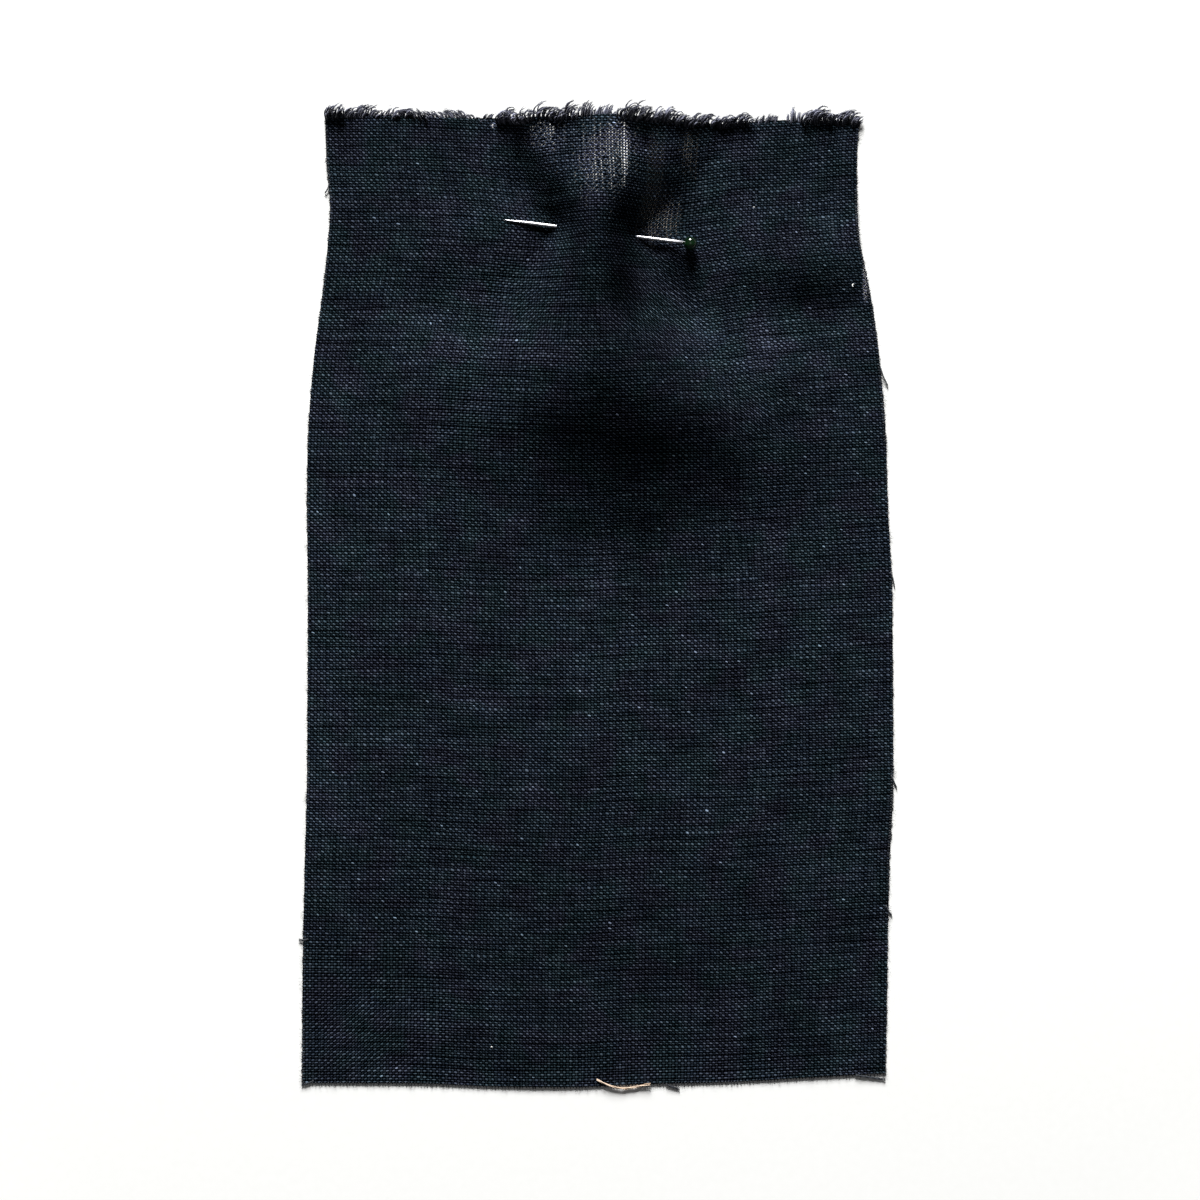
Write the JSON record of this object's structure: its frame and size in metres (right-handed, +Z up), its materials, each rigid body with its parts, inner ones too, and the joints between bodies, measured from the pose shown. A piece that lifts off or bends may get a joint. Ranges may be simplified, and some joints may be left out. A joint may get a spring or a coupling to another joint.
{
  "type": "folded linen fabric with a dressmaking pin",
  "caption": "Flat cut length of dark navy plain-weave linen, with a tufted top edge and a pinched tuck that a glass-headed dressmaking pin holds.",
  "frame": {"origin": "middle of the footprint, on the surface that the cloth lies on", "axes": "+X to the right across the cloth, +Y along the cloth towards its tufted top edge, +Z up off the surface"},
  "size_m": [0.1074, 0.1797, 0.0116],
  "materials": {
    "linen": "dry matte plain weave of slubby dark navy yarn, faintly open between the yarns",
    "linen_tufts": "loose curly tufts of the same navy yarn",
    "pin_steel": "polished nickel-plated steel wire",
    "pin_glass": "glossy opaque bottle-green glass"
  },
  "bodies": {
    "root": {"cloth": "linen", "fringe_left": "linen_tufts", "fringe_left_flank": "linen_tufts", "fringe_crest": "linen_tufts", "fringe_right_flank": "linen_tufts", "fringe_right": "linen_tufts", "pin_shaft": "pin_steel", "pin_head": "pin_glass"}
  },
  "joints": []
}
